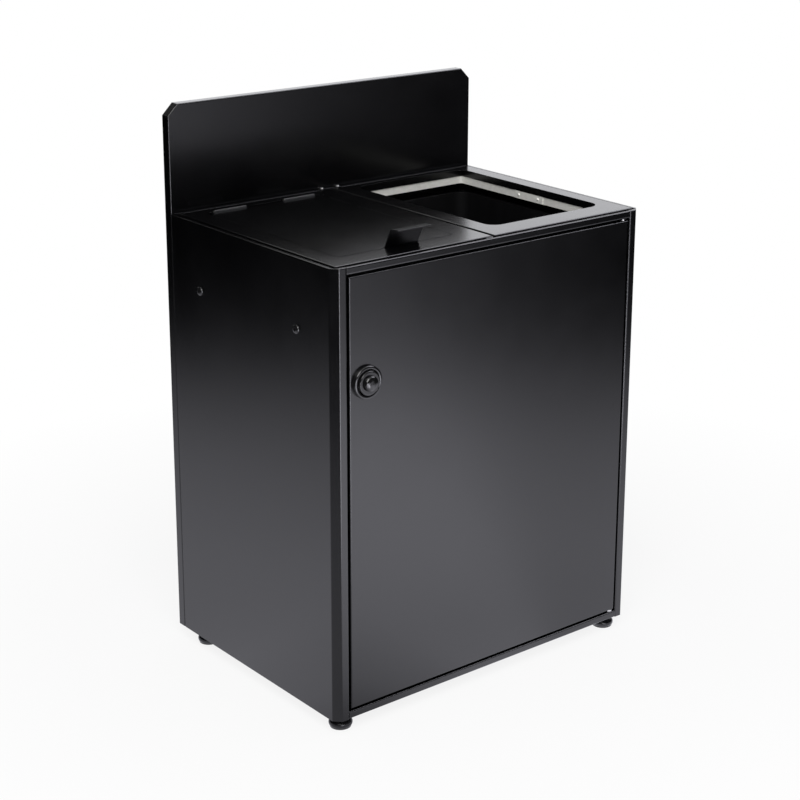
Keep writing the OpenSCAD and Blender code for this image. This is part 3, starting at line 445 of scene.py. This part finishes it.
def turn_and_reach(tree):
    """Degrees round from the front, metres out and metres up of a place on a staged object."""
    coords = tree.nodes.new("ShaderNodeTexCoord")
    split = tree.nodes.new("ShaderNodeSeparateXYZ")
    tree.links.new(coords.outputs["Object"], split.inputs[0])
    x = split.outputs["X"]
    towards_front = times(tree, split.outputs["Y"], -1)
    square = total(tree, math_node(tree, "POWER", x, 2), math_node(tree, "POWER", towards_front, 2))
    turn = math_node(tree, "DEGREES", math_node(tree, "ARCTAN2", x, towards_front))
    return turn, math_node(tree, "SQRT", square), split.outputs["Z"]


def card_level(tree):
    """Pale near the object and black further out, with a pale lobe and a bright strip in front."""
    turn, radius, _ = turn_and_reach(tree)
    near = times(tree, by_radius(tree, radius, CARD_NEAR), by_turn(tree, turn, CARD_ROUND))
    lobe = times(tree, by_turn(tree, turn, CARD_LOBE), by_radius(tree, radius, CARD_RISE))
    strip = times(tree, by_turn(tree, turn, CARD_STRIP), by_radius(tree, radius, CARD_STRIP_RISE))
    return total(tree, near, lobe, strip)


def reflector_card():
    """Card over the floor, turned up at its rim."""
    card = disc("reflector_card", CARD_RADIUS, CARD_HEIGHT, rings=CARD_RINGS)
    for vertex in card.data.vertices:
        out = math.hypot(vertex.co.x, vertex.co.y) - CARD_FLAT
        vertex.co.z += CARD_TURN_UP * max(0.0, out / (CARD_RADIUS - CARD_FLAT)) ** 2
    stage_for_reflections(card, card_level)


def surround_level(tree):
    """Black, but for the pale patch."""
    turn, radius, height = turn_and_reach(tree)
    climb = math_node(tree, "DEGREES", math_node(tree, "ARCTAN2", height, radius))
    patch = times(tree, by_turn(tree, turn, PATCH_TURN), ramp(tree, climb, 0, 90, PATCH_CLIMB))
    return times(tree, patch, PATCH_LEVEL)


def black_surround():
    """Part of a dome that stands black round the front and the left, as in a dark studio."""
    span = SURROUND_TO - SURROUND_FROM
    points = []
    for i in range(SURROUND_ROWS + 1):
        climb = math.radians(90 * i / SURROUND_ROWS)
        flat = SURROUND_RADIUS * math.cos(climb)
        for k in range(SURROUND_COLUMNS + 1):
            turn = math.radians(SURROUND_FROM + span * k / SURROUND_COLUMNS)
            points.append((flat * math.sin(turn), -flat * math.cos(turn), SURROUND_RADIUS * math.sin(climb)))
    row = SURROUND_COLUMNS + 1
    faces = []
    for i in range(SURROUND_ROWS):
        for k in range(SURROUND_COLUMNS):
            a = i * row + k
            faces.append((a, a + 1, a + 1 + row, a + row))
    stage_for_reflections(mesh_object("black_surround", points, faces), surround_level)


def make_floor():
    """Pale floor that runs into the white background and keeps the object's shadow."""
    floor = disc("floor", FLOOR_RADIUS, 0.0)
    material = bpy.data.materials.new("floor")
    material.use_nodes = True
    tree = material.node_tree
    shader = tree.nodes["Principled BSDF"]
    shader.inputs["Base Color"].default_value = FLOOR_COLOUR
    shader.inputs["Roughness"].default_value = 0.9
    white = tree.nodes.new("ShaderNodeEmission")
    mix = tree.nodes.new("ShaderNodeMixShader")
    coords = tree.nodes.new("ShaderNodeTexCoord")
    length = tree.nodes.new("ShaderNodeVectorMath")
    length.operation = "LENGTH"
    tree.links.new(coords.outputs["Object"], length.inputs[0])
    far = remap(tree, length.outputs["Value"], *SHADOW_REACH, WHITE_NEAR, 1)
    tree.links.new(times(tree, far, meets_background(tree)), mix.inputs["Fac"])
    tree.links.new(shader.outputs["BSDF"], mix.inputs[1])
    tree.links.new(white.outputs["Emission"], mix.inputs[2])
    tree.links.new(mix.outputs["Shader"], tree.nodes["Material Output"].inputs["Surface"])
    floor.data.materials.append(material)


def make_world():
    """White where the background is met, and a low even light for the rest."""
    world = bpy.data.worlds.new("studio")
    world.use_nodes = True
    tree = world.node_tree
    background = tree.nodes["Background"]
    background.inputs["Color"].default_value = (1, 1, 1, 1)
    tree.links.new(remap(tree, meets_background(tree), 0, 1, WORLD_LEVEL, 1), background.inputs["Strength"])
    bpy.context.scene.world = world


def make_studio():
    """Floor, background, reflectors, a key softbox, a weaker one overhead and one behind the right side."""
    make_floor()
    make_world()
    reflector_card()
    black_surround()
    area_light("rear_right_softbox", place=(2.3, 2.5, 1.5), aim=(0.15, 0, 0.73), size=(3.2, 1.7), power=10,
               tint=(0.97, 0.98, 1.08))
    area_light("key_softbox", place=(-1.4, -1.75, 2.4), aim=(0, 0, 0.5), size=(1.8, 1.8), power=62)
    area_light("top_softbox", place=(-0.2, -0.3, 2.6), aim=(0, 0, 0.4), size=(2.0, 2.0), power=15)
    bpy.context.scene.view_settings.view_transform = "Standard"


dress_nodes()
make_camera()
make_studio()
